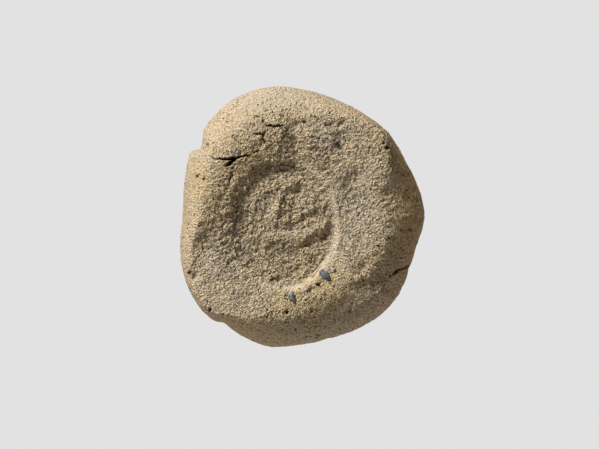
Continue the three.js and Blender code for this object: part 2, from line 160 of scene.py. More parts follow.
# Open and hairline cracks: x, y, half width, depth at each point
cracks = [
    [(-11.5, 7.5, 0.05, 0.2), (-10.4, 7.1, 0.1, 0.7), (-9.2, 7.05, 0.14, 0.9), (-8.6, 7.1, 0.2, 1.2),
     (-7.8, 7.3, 0.14, 0.9), (-6.4, 7.65, 0.08, 0.4), (-5.9, 7.8, 0.03, 0.1)],
    [(-8.4, 7.1, 0.25, 1.2), (-8.9, 6.5, 0.2, 0.9), (-9.4, 6.1, 0.06, 0.3)],
    [(-6.0, 7.8, 0.08, 0.3), (-5.6, 8.05, 0.12, 0.45), (-5.3, 8.2, 0.06, 0.2)],
    [(-8.8, 5.8, 0.06, 0.2), (-8.6, 5.0, 0.12, 0.5), (-8.8, 4.7, 0.12, 0.5), (-9.0, 4.3, 0.06, 0.2)],
    [(-4.7, 11.5, 0.08, 0.3), (-4.2, 11.2, 0.1, 0.6), (-3.2, 11.2, 0.12, 0.8), (-2.2, 11.25, 0.06, 0.3)],
    [(-4.1, 10.75, 0.08, 0.3), (-4.7, 10.2, 0.13, 0.6), (-4.8, 9.7, 0.12, 0.5), (-4.65, 9.3, 0.12, 0.5),
     (-4.5, 9.0, 0.07, 0.3)],
    [(-6.2, 10.0, 0.06, 0.2), (-5.6, 10.2, 0.1, 0.35), (-5.1, 10.1, 0.1, 0.4), (-4.7, 10.2, 0.1, 0.4)],
    [(-5.9, 12.3, 0.08, 0.3), (-5.4, 12.4, 0.1, 0.35), (-5.0, 12.3, 0.06, 0.2)],
    [(-8.5, 10.2, 0.06, 0.2), (-8.2, 9.8, 0.11, 0.4), (-8.1, 9.4, 0.1, 0.35), (-7.6, 9.1, 0.06, 0.2)],
    [(-2.6, 9.0, 0.05, 0.2), (-2.2, 10.1, 0.06, 0.25), (-1.6, 10.3, 0.05, 0.2)],
    [(-4.4, 6.2, 0.05, 0.15), (-3.0, 6.4, 0.07, 0.3), (-1.7, 6.35, 0.08, 0.35), (-0.5, 6.0, 0.05, 0.2)],
    [(2.4, -6.2, 0.04, 0.15), (1.9, -6.9, 0.06, 0.3), (1.3, -7.6, 0.05, 0.2)],
    [(13.6, -6.2, 0.12, 0.4), (12.6, -6.5, 0.1, 0.5), (11.9, -6.8, 0.16, 0.5), (11.0, -7.4, 0.12, 0.3)],
]

# The larger open pores: x, y, radius, depth
pores = [
    (-12.9, 4.95, 0.2, 0.45), (-12.1, 4.6, 0.18, 0.4), (-11.3, -11.6, 0.22, 0.5), (-1.8, -11.9, 0.25, 0.5),
    (2.1, -8.5, 0.22, 0.5), (0.3, 11.7, 0.22, 0.4), (10.2, 9.1, 0.2, 0.4), (10.6, 8.5, 0.28, 0.5),
    (13.4, -1.6, 0.14, 0.3), (12.6, 5.2, 0.16, 0.3), (3.4, 12.5, 0.12, 0.25), (2.1, -14.8, 0.16, 0.3),
    (-11.6, 8.9, 0.2, 0.4), (1.3, -11.7, 0.2, 0.3), (-4.75, 11.8, 0.18, 0.4), (-6.3, 11.5, 0.13, 0.3),
    (-5.9, 11.3, 0.13, 0.3), (-2.3, 12.45, 0.14, 0.3), (-13.9, -7.05, 0.28, 0.5),
]


def ease(low, high, value):
    # 3t^2 - 2t^3 of the share of the way from low to high
    t = np.clip((value - low) / (high - low), 0, 1)
    return t * t * (3 - 2 * t)


def around(values, degrees):
    # smooth closed curve (cubic through neighbours) through values spaced evenly round the circle
    values = np.asarray(values, float)
    count = len(values)
    place = (degrees % 360) / 360 * count
    index = np.floor(place).astype(int)
    t = place - index
    a, b, c, d = [values[(index + step) % count] for step in (-1, 0, 1, 2)]
    return b + 0.5 * t * (c - a + t * (2 * a - 5 * b + 4 * c - d + t * (3 * (b - c) + d - a)))


def nickDepth(degrees):
    # sum of bell curves exp(-(offset / span)^2), with its own span on either side of each nick
    depth = np.zeros_like(degrees)
    for angle, deep, before, after in lump["nicks"]:
        offset = (degrees - angle + 180) % 360 - 180
        depth += deep * np.exp(-(offset / np.where(offset < 0, before, after)) ** 2)
    return depth


def outline(degrees):
    # the radius through the listed ones, less the nicks
    return around(lump["outlineRadii"], degrees) - nickDepth(degrees)


def swellings(x, y, forms):
    # each adds height * exp(-(along / length)^2 - (across / width)^2) in its own turned axes
    total = np.zeros_like(x)
    for centreX, centreY, halfLength, halfWidth, turn, height in forms:
        cosine, sine = math.cos(math.radians(turn)), math.sin(math.radians(turn))
        along = (x - centreX) * cosine + (y - centreY) * sine
        across = (y - centreY) * cosine - (x - centreX) * sine
        total += height * np.exp(-(along / halfLength) ** 2 - (across / halfWidth) ** 2)
    return total


def nearestOnLine(x, y, points):
    # share of the local half width that a place lies off the line, and the line's height there
    nearest = np.full_like(x, np.inf)
    height = np.zeros_like(x)
    for (x0, y0, width0, height0), (x1, y1, width1, height1) in zip(points[:-1], points[1:]):
        dx, dy = x1 - x0, y1 - y0
        t = np.clip(((x - x0) * dx + (y - y0) * dy) / (dx * dx + dy * dy), 0, 1)
        share = np.hypot(x - x0 - t * dx, y - y0 - t * dy) / (width0 + (width1 - width0) * t)
        closer = share < nearest
        nearest = np.where(closer, share, nearest)
        height = np.where(closer, height0 + (height1 - height0) * t, height)
    return nearest, height


def roll(x, y, points):
    # height * exp(-(share of the half width)^2)
    nearest, height = nearestOnLine(x, y, points)
    return height * np.exp(-nearest ** 2)


def pitShare(x, y):
    # 1 on the oval's edge, 0 in its middle; and the angle round it
    u, v = x - pit["x"], y - pit["y"]
    angle = np.degrees(np.arctan2(v, u))
    return np.hypot(u / pit["halfWidth"], v / pit["halfLength"]) / around(pit["round"], angle), angle


def pitRelief(x, y):
    # the oval's tilted floor, deeper or shallower towards the rim, with the device on it and a lip round it
    share, angle = pitShare(x, y)
    floor = pit["depth"] + pit["tiltX"] * (x - pit["x"]) + pit["tiltY"] * (y - pit["y"])
    atRim = 1 + (around(pit["wall"], angle) - 1) * np.minimum(share, 1) ** 2
    wall = atRim * (1 - ease(1 - around(pit["slope"], angle), pit["wallEnd"], share))
    device = swellings(x, y, deviceForms) + roll(x, y, crescent)
    device = device * (1 - ease(pit["deviceFull"], pit["deviceEnd"], share))
    lip = around(pit["lip"], angle) * np.exp(-((share - pit["lipPlace"]) / pit["lipWidth"]) ** 2)
    return device + lip - floor * wall


def relief(x, y):
    # rim forms, rolls and the oval, less the field's depth, which sets in from its outer to its inner share
    field = lump["field"]
    share = np.hypot((x - field["x"]) / field["halfWidth"], (y - field["y"]) / field["halfLength"])
    sunken = field["depth"] * (1 - ease(field["inner"], field["outer"], share))
    alongLines = sum(roll(x, y, points) for points in rolls.values())
    return swellings(x, y, rimForms) + alongLines + pitRelief(x, y) - sunken


def upperHeight(x, y):
    # a quarter ellipse in from the outline, girth + rise * sqrt(1 - (1 - t)^2), then the relief on the crown
    degrees = np.degrees(np.arctan2(y, x))
    inset = outline(degrees) - np.hypot(x, y)
    fade = np.exp(-(inset / lump["nickReach"]) ** 2)
    gap = inset + nickDepth(degrees) * (1 - fade)
    t = np.clip(gap / around(lump["upperReach"], degrees), 0, 1)
    girth = around(lump["girthHeights"], degrees)
    dome = girth + (lump["crownHeight"] - girth) * np.sqrt(1 - (1 - t) ** 2)
    return dome + relief(x, y) * ease(lump["reliefStart"], lump["reliefFull"], t)


def stitchRings(inner, outer, startInner, startOuter):
    # each edge of a ring joins the point of the other ring that faces its middle
    j = np.arange(outer)
    facing = ((2 * j + 1) * inner + outer) // (2 * outer) % inner
    faces = [np.stack([startInner + facing, startOuter + j, startOuter + (j + 1) % outer], 1)]
    if inner > 1:
        i = np.arange(inner)
        facing = -((inner - (2 * i + 1) * outer) // (2 * inner)) % outer
        faces.append(np.stack([startInner + i, startOuter + facing, startInner + (i + 1) % inner], 1))
    return np.vstack(faces)


# Rings over the crown, round the upper edge, down the side (and the points in each) and across the underside
meshFineness = dict(fieldRings=106, edgeRings=46, lowerRings=34, lowerCount=420, baseRings=26)


def lumpSurface():
    # rings from the middle of the top over the girth to the middle of the underside, 6k points on ring k
    fineness = meshFineness
    upperRings = fineness["fieldRings"] + fineness["edgeRings"]
    upperCounts = [1] + [6 * k for k in range(1, upperRings + 1)]
    lowerCounts = [fineness["lowerCount"]] * fineness["lowerRings"]
    baseCounts = [6 * k for k in range(fineness["baseRings"] - 1, 0, -1)] + [1]
    counts = upperCounts + lowerCounts + baseCounts
    starts = np.concatenate([[0], np.cumsum(counts)])
    ring = np.repeat(np.arange(len(counts)), counts)
    degrees = 360 * (np.arange(starts[-1]) - starts[ring]) / np.asarray(counts)[ring]
    edge = outline(degrees)
    upper = ring <= upperRings
    lower = (ring > upperRings) & (ring <= upperRings + fineness["lowerRings"])
    reach = around(lump["upperReach"], degrees)
    inField = (edge - reach) * ring / fineness["fieldRings"]
    overTurn = np.pi / 2 * (ring - fineness["fieldRings"]) / fineness["edgeRings"]
    overEdge = edge - reach * (1 - np.sin(overTurn))
    underTurn = np.clip((ring - upperRings) / fineness["lowerRings"], 0, 1) * np.pi / 2
    lowerReach = around(lump["lowerReach"], degrees)
    underEdge = edge - lowerReach * (1 - np.cos(underTurn))
    baseShare = (len(counts) - 1 - ring) / fineness["baseRings"]
    radius = np.where(upper, np.where(ring <= fineness["fieldRings"], inField, overEdge),
                      np.where(lower, underEdge, (edge - lowerReach) * baseShare))
    angle = np.radians(degrees)
    x, y = radius * np.cos(angle), radius * np.sin(angle)
    girth = around(lump["girthHeights"], degrees)
    z = np.where(upper, upperHeight(x, y), np.where(lower, girth * (1 - np.sin(underTurn)), 0))
    faces = []
    for k in range(1, len(counts)):
        if counts[k] >= counts[k - 1]:
            faces.append(stitchRings(counts[k - 1], counts[k], starts[k - 1], starts[k]))
        else:
            faces.append(stitchRings(counts[k], counts[k - 1], starts[k], starts[k - 1])[:, ::-1])
    return np.stack([x, y, z], 1), np.vstack(faces), upper


def vertexNormals(points, faces):
    # sum of the area-weighted normals of the faces round each point, scaled to length 1
    corners = points[faces]
    faceNormals = np.cross(corners[:, 1] - corners[:, 0], corners[:, 2] - corners[:, 0])
    normals = np.stack([np.bincount(faces.ravel(), np.repeat(faceNormals[:, axis], 3), len(points))
                        for axis in range(3)], 1)
    return normals / np.maximum(np.linalg.norm(normals, axis=1, keepdims=True), 1e-12)


latticeSize = 256  # the noises repeat after this many cells
cloudGain = 1.7  # brings the gradient noise to about -1 to 1
ballMargin = 0.15  # how far a grain's centre keeps off the walls of its cell


def latticeHash(table, cell):
    hashed = table[cell[:, 0] % latticeSize]
    for axis in (1, 2):
        hashed = table[(hashed + cell[:, axis]) % latticeSize]
    return hashed


def cloudNoise(points, size, seed):
    # gradient noise: a seeded slope at each lattice corner, blended by 6t^5 - 15t^4 + 10t^3
    rng = np.random.default_rng(seed)
    table = rng.permutation(latticeSize)
    slopes = rng.normal(size=(latticeSize, 3))
    slopes /= np.linalg.norm(slopes, axis=1, keepdims=True)
    place = points / size
    cell = np.floor(place).astype(int)
    f = place - cell
    w = f ** 3 * (f * (f * 6 - 15) + 10)
    total = np.zeros(len(points))
    for corner in np.ndindex(2, 2, 2):
        slope = slopes[latticeHash(table, cell + corner)]
        weight = np.prod(np.where(corner, w, 1 - w), axis=1)
        total += weight * np.einsum("ij,ij->i", slope, f - corner)
    return total * cloudGain


def grainNoise(points, size, seed, radii, share=1.0):
    # a seeded ball in a share of the lattice cells: the highest 1 - (distance / radius)^2 near a place
    rng = np.random.default_rng(seed)
    table = rng.permutation(latticeSize)
    centres = rng.uniform(ballMargin, 1 - ballMargin, (latticeSize, 3))
    sizes = rng.uniform(radii[0], radii[1], latticeSize) * (rng.random(latticeSize) < share)
    sizes = np.maximum(sizes, 1e-6)  # an empty cell keeps a ball too small to show
    place = points / size
    cell = np.floor(place).astype(int)
    best = np.zeros(len(points))
    for step in np.ndindex(3, 3, 3):
        near = cell + step - 1
        pick = latticeHash(table, near)
        distance = np.linalg.norm(near + centres[pick] - place, axis=1)
        best = np.maximum(best, 1 - (distance / sizes[pick]) ** 2)
    return best


# Crumbs, grains and pores of the skin: sizes and heights in mm, radii in cells
crumb = dict(
    waveSize=2.2, waveHeight=0.06,
    warpSize=0.7, warpReach=0.2,
    lumpSize=1.15, lumpHeight=0.05,
    flakes=[(1.5, 0.06), (0.85, 0.09), (0.5, 0.1), (0.3, 0.09)],  # steep-sided crumbs: size, height
    flakeLow=-0.1, flakeHigh=0.3, flakeMiddle=0.45,  # the noise that their sides climb over, their mean rise
    grainSize=0.42, grainHeight=0.04, grainRadii=(0.3, 0.6), grainMiddle=0.35,
    softSize=0.34, softHeight=0.035,
    poreSize=0.8, poreRadii=(0.1, 0.17), poreShare=0.6, poreDepth=0.22,
)

# One seed for each noise, and the first of the flakes' four, so that the skin is the same every time
seeds = dict(warp=(21, 22, 23), waves=3, soft=13, lumps=5, flakes=61, grains=11, pores=17, wobble=(19, 20),
             pinch=24, rough=31, rubbedAndHighlit=33, tint=(41, 43), stone=51)

# How the skin's masks start, end and sway
skinLook = dict(
    ovalFull=0.85, ovalEnd=1.1, leastRough=0.12, sideRough=0.3, roughSize=1.8, roughSway=0.25,
    rubbedFrom=0.2, rubbedFull=0.75, rubbedSize=0.8, rubbedMiddle=0.8, rubbedSway=0.7, rubbedCalm=0.85,
    calmFrom=0.8, calmTo=1.3, calmDepth=0.1,  # round a stone, in shares of its radius, and its bed's depth
    # poreDark, crackDark: how strongly small pores and the cracks and large pores are darkened with painted
    # shade
    poreDark=1.2, crackDark=2.5,
    tintMiddle=0.5, tintClouds=[(1.6, 0.22), (0.7, 0.18)],  # clouds: size, strength
)

# Cracks and large pores waver and pinch, and fade out past these shares of their half width or radius
openingLook = dict(wobbleSize=0.45, wobbleReach=0.14, pinchSize=0.3, pinchMiddle=1.1, pinchSway=0.45,
                   crackRim=1.25, poreRim=1.3)

# Where the skin is crumbly rather than rubbed smooth: x, y, half length, half width, turn, amount
roughZones = [
    (6.8, 0.5, 4.5, 7.0, 10, 0.7),
    (-8.5, -5.0, 5.0, 4.5, -20, 0.9),
    (-3.5, 9.0, 4.5, 2.5, 10, 0.6),
    (3.5, 8.5, 3.5, 3.5, 0, 0.8),
    (9.0, -7.5, 3.0, 1.6, 25, 0.7),
    (-9.0, 3.0, 2.0, 4.0, 10, 0.6),
    (1.5, -9.8, 2.0, 1.0, 0, 0.6),
    (9.5, 8.5, 3.5, 1.8, -50, 0.4),
    (-4.0, -11.5, 4.5, 1.8, -15, 0.4),
    (12.9, 3.0, 2.2, 7.0, 12, 0.3),
    (6.0, -12.6, 8.0, 2.4, 25, 0.2),
]

# Rubbed smooth and lightened, the lightening partly a painted highlight on the oval's lit edge: the oval's
# own edge, x, y, half width, amount, and places beside it
rubbedLine = [(-0.3, 6.2, 0.3, 0.1), (1.3, 5.8, 0.25, 0.3), (2.75, 4.9, 0.25, 0.5),
              (3.6, 3.6, 0.28, 0.75), (4.0, 2.0, 0.28, 0.85), (4.25, 0.5, 0.32, 0.9),
              (4.4, -1.2, 0.34, 0.8), (4.2, -2.9, 0.42, 0.7), (3.6, -4.4, 0.5, 0.75),
              (2.5, -6.2, 0.45, 0.85), (1.0, -7.9, 0.42, 0.9), (-1.0, -8.95, 0.4, 0.9),
              (-3.0, -8.9, 0.35, 0.8), (-4.4, -8.4, 0.3, 0.6), (-5.5, -7.9, 0.25, 0.4)]
rubbedZones = [
    (1.0, 4.6, 2.3, 0.9, -50, 0.35),
    (4.6, -4.6, 1.6, 0.8, 60, 0.5),
]

# Where the clay is golden (plus) or greyer (minus): x, y, half length, half width, turn, amount
tintZones = [
    (-6.5, 7.0, 6.5, 3.0, 40, 0.5),
    (-11.5, 2.0, 1.5, 5.0, 0, 0.3),
    (13.5, 1.0, 2.0, 8.0, 0, 0.6),
    (2.5, -10.0, 7.0, 2.4, 12, 0.55),
    (9.0, -6.0, 3.0, 1.5, 40, 0.4),
    (0.0, -5.5, 2.5, 2.0, 0, 0.25),
    (-3.5, 15.0, 8.0, 2.0, -5, -0.5),
    (-14.0, 9.0, 2.0, 4.0, -40, -0.4),
    (7.0, 0.5, 3.0, 6.0, 10, -0.5),
    (3.5, 10.0, 3.0, 2.0, -20, -0.35),
    (-10.0, -7.0, 4.0, 2.5, -45, -0.4),
    (7.5, -13.0, 7.0, 2.2, 25, -0.7),
]

# Grit in the clay: corners in plan, how far it stands out, its colour, and that of its lower right end
stones = [
    dict(corners=[(2.25, -6.8), (2.7, -6.5), (3.15, -6.85), (3.6, -7.65), (3.3, -7.75), (2.45, -7.65),
                  (2.2, -7.25)],
         rise=0.1, color=(0.085, 0.09, 0.1), farColor=(0.04, 0.045, 0.05)),
    dict(corners=[(-2.1, -9.35), (-1.6, -9.6), (-1.15, -9.15), (-0.9, -9.6), (-0.6, -10.4), (-0.85, -10.9),
                  (-1.35, -10.4), (-1.75, -9.95)],
         rise=0.06, color=(0.2, 0.205, 0.18), farColor=(0.06, 0.055, 0.045)),
    dict(corners=[(4.2, 9.2), (4.6, 9.1), (4.75, 8.75), (4.5, 8.55), (4.15, 8.8)],
         rise=0.03, color=(0.045, 0.049, 0.056)),
    dict(corners=[(-8.2, 7.8), (-7.9, 8.2), (-7.55, 8.05), (-7.6, 7.65), (-8.0, 7.6)],
         rise=0.08, color=(0.215, 0.2, 0.185)),
    dict(corners=[(3.9, -6.25), (4.2, -6.4), (4.25, -6.75), (3.95, -6.95), (3.6, -6.8), (3.6, -6.4)],
         rise=0.08, color=(0.31, 0.235, 0.205)),
]


def rubbedAndHighlit(x, y):
    # the line's and the zones' amounts, eased to stay between 0 and 1
    amount = roll(x, y, rubbedLine) + swellings(x, y, rubbedZones)
    return ease(skinLook["rubbedFrom"], skinLook["rubbedFull"], amount)


def roughness(x, y):
    # 1 inside the oval and the zones' bells outside it, plus a little everywhere
    share, _ = pitShare(x, y)
    inside = 1 - ease(skinLook["ovalFull"], skinLook["ovalEnd"], share)
    return np.clip(np.maximum(inside, swellings(x, y, roughZones)) + skinLook["leastRough"], 0, 1)


def calmRound(x, y):
    # 0 under each stone, 1 from a little outside it
    calm = np.ones_like(x)
    for stone in stones:
        corners = np.array(stone["corners"])
        middle = corners.mean(0)
        radius = np.hypot(*(corners - middle).T).mean()
        offset = np.hypot(x - middle[0], y - middle[1]) / radius
        calm *= ease(skinLook["calmFrom"], skinLook["calmTo"], offset)
    return calm


def skinMasks(points, upper):
    # crumbliness and rubbing from their zones, each swayed by its own noise; rubbing takes crumbliness away,
    # and its mask also carries a painted highlight into the colour
    look = skinLook
    x, y = points[:, 0], points[:, 1]
    sway = look["rubbedMiddle"] + look["rubbedSway"] * cloudNoise(points, look["rubbedSize"], seeds["rubbedAndHighlit"])
    smooth = np.where(upper, rubbedAndHighlit(x, y), 0) * np.clip(sway, 0, 1)
    sway = look["roughSway"] * cloudNoise(points, look["roughSize"], seeds["rough"]) * upper
    rough = np.clip(np.where(upper, roughness(x, y), look["sideRough"]) + sway, 0, 1)
    return rough * (1 - look["rubbedCalm"] * smooth), smooth


def crumbLift(points, rough):
    # soft waves everywhere; where crumbly, lumps (noise), steep-sided crumbs (eased noise) and grains (balls)
    warp = np.stack([cloudNoise(points, crumb["warpSize"], seed) for seed in seeds["warp"]], 1)
    bent = points + warp * crumb["warpReach"]
    waves = cloudNoise(points, crumb["waveSize"], seeds["waves"]) * crumb["waveHeight"]
    soft = cloudNoise(bent, crumb["softSize"], seeds["soft"]) * crumb["softHeight"]
    crumbs = cloudNoise(bent, crumb["lumpSize"], seeds["lumps"]) * crumb["lumpHeight"]
    for step, (size, height) in enumerate(crumb["flakes"]):
        raised = ease(crumb["flakeLow"], crumb["flakeHigh"], cloudNoise(bent, size, seeds["flakes"] + step))
        crumbs += (raised - crumb["flakeMiddle"]) * height
    grains = grainNoise(bent, crumb["grainSize"], seeds["grains"], crumb["grainRadii"])
    crumbs += (grains - crumb["grainMiddle"]) * crumb["grainHeight"]
    return waves + soft + rough * crumbs


def openingDepth(points):
    # deepest of depth * (rim - share of the half width or radius), held between nothing and the whole depth
    look = openingLook
    x, y = points[:, 0], points[:, 1]
    wobbleX, wobbleY = [cloudNoise(points, look["wobbleSize"], seed) * look["wobbleReach"]
                        for seed in seeds["wobble"]]
    pinch = look["pinchMiddle"] + look["pinchSway"] * cloudNoise(points, look["pinchSize"], seeds["pinch"])
    deepest = np.zeros(len(points))
    for crack in cracks:
        share, depth = nearestOnLine(x + wobbleX, y + wobbleY, crack)
        deepest = np.maximum(deepest, depth * np.clip(look["crackRim"] - share * pinch, 0, 1))
    for poreX, poreY, radius, depth in pores:
        share = np.hypot(x - poreX, y - poreY) / radius
        deepest = np.maximum(deepest, depth * np.clip(look["poreRim"] - share, 0, 1))
    return deepest


def buildLump():
    # the plain form, lifted along its normals by crumbs less small pores, and cut down by cracks and pores
    points, faces, upper = lumpSurface()
    normals = vertexNormals(points, faces)
    x, y = points[:, 0], points[:, 1]
    rough, smooth = skinMasks(points, upper)
    calm = np.where(upper, calmRound(x, y), 1)
    lift = crumbLift(points, rough) * calm - skinLook["calmDepth"] * (1 - calm)
    smallPores = grainNoise(points, crumb["poreSize"], seeds["pores"], crumb["poreRadii"], crumb["poreShare"])
    lift -= smallPores * crumb["poreDepth"]
    opening = openingDepth(points) * upper
    # painted shade in small pores, cracks and large pores
    cavityShade = np.clip(smallPores * skinLook["poreDark"] + opening * skinLook["crackDark"], 0, 1)
    tint = skinLook["tintMiddle"] + swellings(x, y, tintZones) * upper
    onGround = points[:, 2] < 1e-6  # the underside keeps its plane and has only pits
    lift = np.where(onGround, -np.maximum(-lift, 0), lift)
    points = points + normals * lift[:, None]
    points[:, 2] -= opening
    for (size, strength), seed in zip(skinLook["tintClouds"], seeds["tint"]):
        tint += strength * cloudNoise(points, size, seed)
    return points, faces, dict(rough=rough, cavityShade=cavityShade, smooth=smooth, tint=np.clip(tint, 0, 1))


def fitToFrame(points, low, high):
    # stretch each axis by the hair that brings the finished skin to the frame's box
    a, b = points.min(0), points.max(0)
    return low + (points - a) * (high - low) / (b - a)


def meshObject(name, points, faces, attributes, material):
    # a smooth mesh from points in mm, with one value for each point under each attribute's name
    mesh = bpy.data.meshes.new(name)
    mesh.from_pydata(points * mm, [], faces)
    mesh.polygons.foreach_set("use_smooth", np.ones(len(faces), bool))
    for attributeName, values in attributes.items():
        layer = mesh.attributes.new(attributeName, "FLOAT", "POINT")
        layer.data.foreach_set("value", np.asarray(values, np.float32))
    mesh.update()
    mesh.materials.append(material)
    thing = bpy.data.objects.new(name, mesh)
    bpy.context.scene.collection.objects.link(thing)
    return thing


def addNode(tree, kind, inputs=None, **settings):
    # a node with its settings, and its inputs either joined to a socket or set to a value
    node = tree.nodes.new(kind)
    for key, value in settings.items():
        setattr(node, key, value)
    for key, value in (inputs or {}).items():
        if isinstance(value, bpy.types.NodeSocket):
            tree.links.new(value, node.inputs[key])
        else:
            node.inputs[key].default_value = value
    return node


def mathNode(tree, operation, first, second, third=0.0):
    # one sum on two values, or on three where it takes three
    return addNode(tree, "ShaderNodeMath", {0: first, 1: second, 2: third}, operation=operation).outputs[0]


def rampNode(tree, value, low, high, bottom=0.0, top=1.0):
    # 3t^2 - 2t^3 of the share of the way from low to high, put out between bottom and top
    inputs = {"Value": value, "From Min": low, "From Max": high, "To Min": bottom, "To Max": top}
    return addNode(tree, "ShaderNodeMapRange", inputs, interpolation_type="SMOOTHSTEP").outputs["Result"]


def noiseNode(tree, vector, size, **inputs):
    # cloud noise of this size in mm
    return addNode(tree, "ShaderNodeTexNoise", {"Vector": vector, "Scale": 1 / (size * mm), **inputs}).outputs


def cellNode(tree, vector, size):
    # cells of this size in mm, with the distance from each one's seed in cells
    return addNode(tree, "ShaderNodeTexVoronoi", {"Vector": vector, "Scale": 1 / (size * mm)}).outputs


def spotNode(tree, vector, size, core, radius, share, channel):
    # spots in a share of the cells: 1 up to the core's share of the radius, easing to 0 at the radius
    cells = cellNode(tree, vector, size)
    drawn = addNode(tree, "ShaderNodeSeparateColor", {"Color": cells["Color"]}).outputs[channel]
    spot = rampNode(tree, cells["Distance"], core * radius, radius, 1.0, 0.0)
    return mathNode(tree, "MULTIPLY", spot, mathNode(tree, "LESS_THAN", drawn, share))


def colorNode(tree, factor, first, second, blend="MIX"):
    # from first by the factor towards second, or towards the product of both
    node = addNode(tree, "ShaderNodeMix", data_type="RGBA", blend_type=blend, clamp_factor=True)
    for index, value in ((0, factor), (6, first), (7, second)):
        if isinstance(value, bpy.types.NodeSocket):
            tree.links.new(value, node.inputs[index])
        else:
            node.inputs[index].default_value = (*value, 1) if isinstance(value, tuple) else value
    return node.outputs[2]


def newGroup(name, inputs, outputs):
    # an empty group with these sockets, and both ends of it
    group = bpy.data.node_groups.new(name, "ShaderNodeTree")
    for direction, sockets in (("INPUT", inputs), ("OUTPUT", outputs)):
        for socketName, kind in sockets.items():
            group.interface.new_socket(socketName, in_out=direction, socket_type="NodeSocket" + kind)
    return group, group.nodes.new("NodeGroupInput").outputs, group.nodes.new("NodeGroupOutput").inputs


# Finest skin of the clay: sizes and reach in mm, grainTop and radii in cells, poreCore in radii, and
# heights in shares of the bump's depth
grainLook = dict(
    broadSize=0.65, broadHeight=0.6, broadDetail=4.0, broadRoughness=0.72,
    sandSize=0.26, sandHeight=1.2, sandDetail=1.5, sandRoughness=0.6,
    grainSize=0.32, grainHeight=0.35, grainTop=0.1, grainRadius=0.75,
    driftSize=0.3, driftReach=0.5,
    poreSize=0.6, poreHeight=1.9, poreCore=0.5, poreRadius=0.23, poreShare=0.5,
    smoothest=0.52,  # how much of the height is left where nothing crumbles
    middleTone=0.45, calmestTone=0.45,  # tone of the painted shade and light that all fades to, and how much of its swing is left there
)


def grainGroup():
    # height = broad noise + sand noise + bent grains, scaled down where the skin is smooth, less pores; the
    # height's share, swung less where the skin is smooth, is the tone for painted shade in the grain's
    # hollows and painted light on its crests
    look = grainLook
    tree, given, out = newGroup("clayGrain", dict(Vector="Vector", Crumble="Float"),
                                dict(Height="Float", GrainShade="Float", PoreShade="Float"))
    vector, crumble = given["Vector"], given["Crumble"]
    broad = noiseNode(tree, vector, look["broadSize"], Detail=look["broadDetail"],
                      Roughness=look["broadRoughness"])["Fac"]
    sand = noiseNode(tree, vector, look["sandSize"], Detail=look["sandDetail"],
                     Roughness=look["sandRoughness"])["Fac"]
    drift = noiseNode(tree, vector, look["driftSize"])["Color"]
    bent = addNode(tree, "ShaderNodeVectorMath", {0: drift, 1: (look["driftReach"] * mm,) * 3, 2: vector},
                   operation="MULTIPLY_ADD").outputs[0]
    offset = cellNode(tree, bent, look["grainSize"])["Distance"]
    grain = rampNode(tree, offset, look["grainTop"], look["grainRadius"], 1.0, 0.0)
    # pore spots dent the bump and also carry painted shade into the colour
    pore = spotNode(tree, bent, look["poreSize"], look["poreCore"], look["poreRadius"], look["poreShare"],
                    "Red")
    height = mathNode(tree, "MULTIPLY", grain, look["grainHeight"])
    height = mathNode(tree, "MULTIPLY_ADD", sand, look["sandHeight"], height)
    height = mathNode(tree, "MULTIPLY_ADD", broad, look["broadHeight"], height)
    # the grain's height as a tone for painted shade in its hollows and painted light on its crests
    grainShadeTone = mathNode(tree, "DIVIDE", height, look["grainHeight"] + look["sandHeight"] + look["broadHeight"])
    swing = mathNode(tree, "SUBTRACT", grainShadeTone, look["middleTone"])
    # less swing of the painted shade and light where the skin is smooth
    mottle = rampNode(tree, crumble, 0.0, 1.0, look["calmestTone"], 1.0)
    grainShadeTone = mathNode(tree, "MULTIPLY_ADD", swing, mottle, look["middleTone"])
    height = mathNode(tree, "MULTIPLY", height, rampNode(tree, crumble, 0.0, 1.0, look["smoothest"], 1.0))
    height = mathNode(tree, "MULTIPLY_ADD", pore, -look["poreHeight"], height)
    tree.links.new(height, out["Height"])
    tree.links.new(grainShadeTone, out["GrainShade"])
    tree.links.new(pore, out["PoreShade"])
    return tree


# Colours of the clay: sizes in mm, the rest as for the grain
tintLook = dict(
    # shade and light: painted shade in the grain's hollows and painted light on its crests
    golden=(0.595, 0.465, 0.275), grey=(0.555, 0.47, 0.355), shade=(0.46, 0.4, 0.33), light=(1.22, 1.22, 1.2),
    # pore: colour of the painted shade in pores and cracks
    dust=(0.68, 0.585, 0.455), rubbedAndHighlit=(0.66, 0.55, 0.4), pore=(0.09, 0.055, 0.03), speck=(0.16, 0.12, 0.085),
    cloudSize=3.0, cloudDetail=5.0, cloudRoughness=0.65,
    swayLow=0.25, swayHigh=0.75, cloudSway=0.3, dustLow=0.55, dustHigh=0.75,
    speckSize=0.9, speckCore=0.6, speckRadius=0.12, speckShare=0.3,
    shadeTone=0.3, lightTone=0.6,  # tones of the grain that take the whole painted shade and the whole painted light
    rubbedMost=0.7, dustMost=0.5, speckMost=0.75, poreMost=0.95,  # how far each covers the clay's colour; the rubbed cover is partly a painted highlight, the pore cover painted shade
)


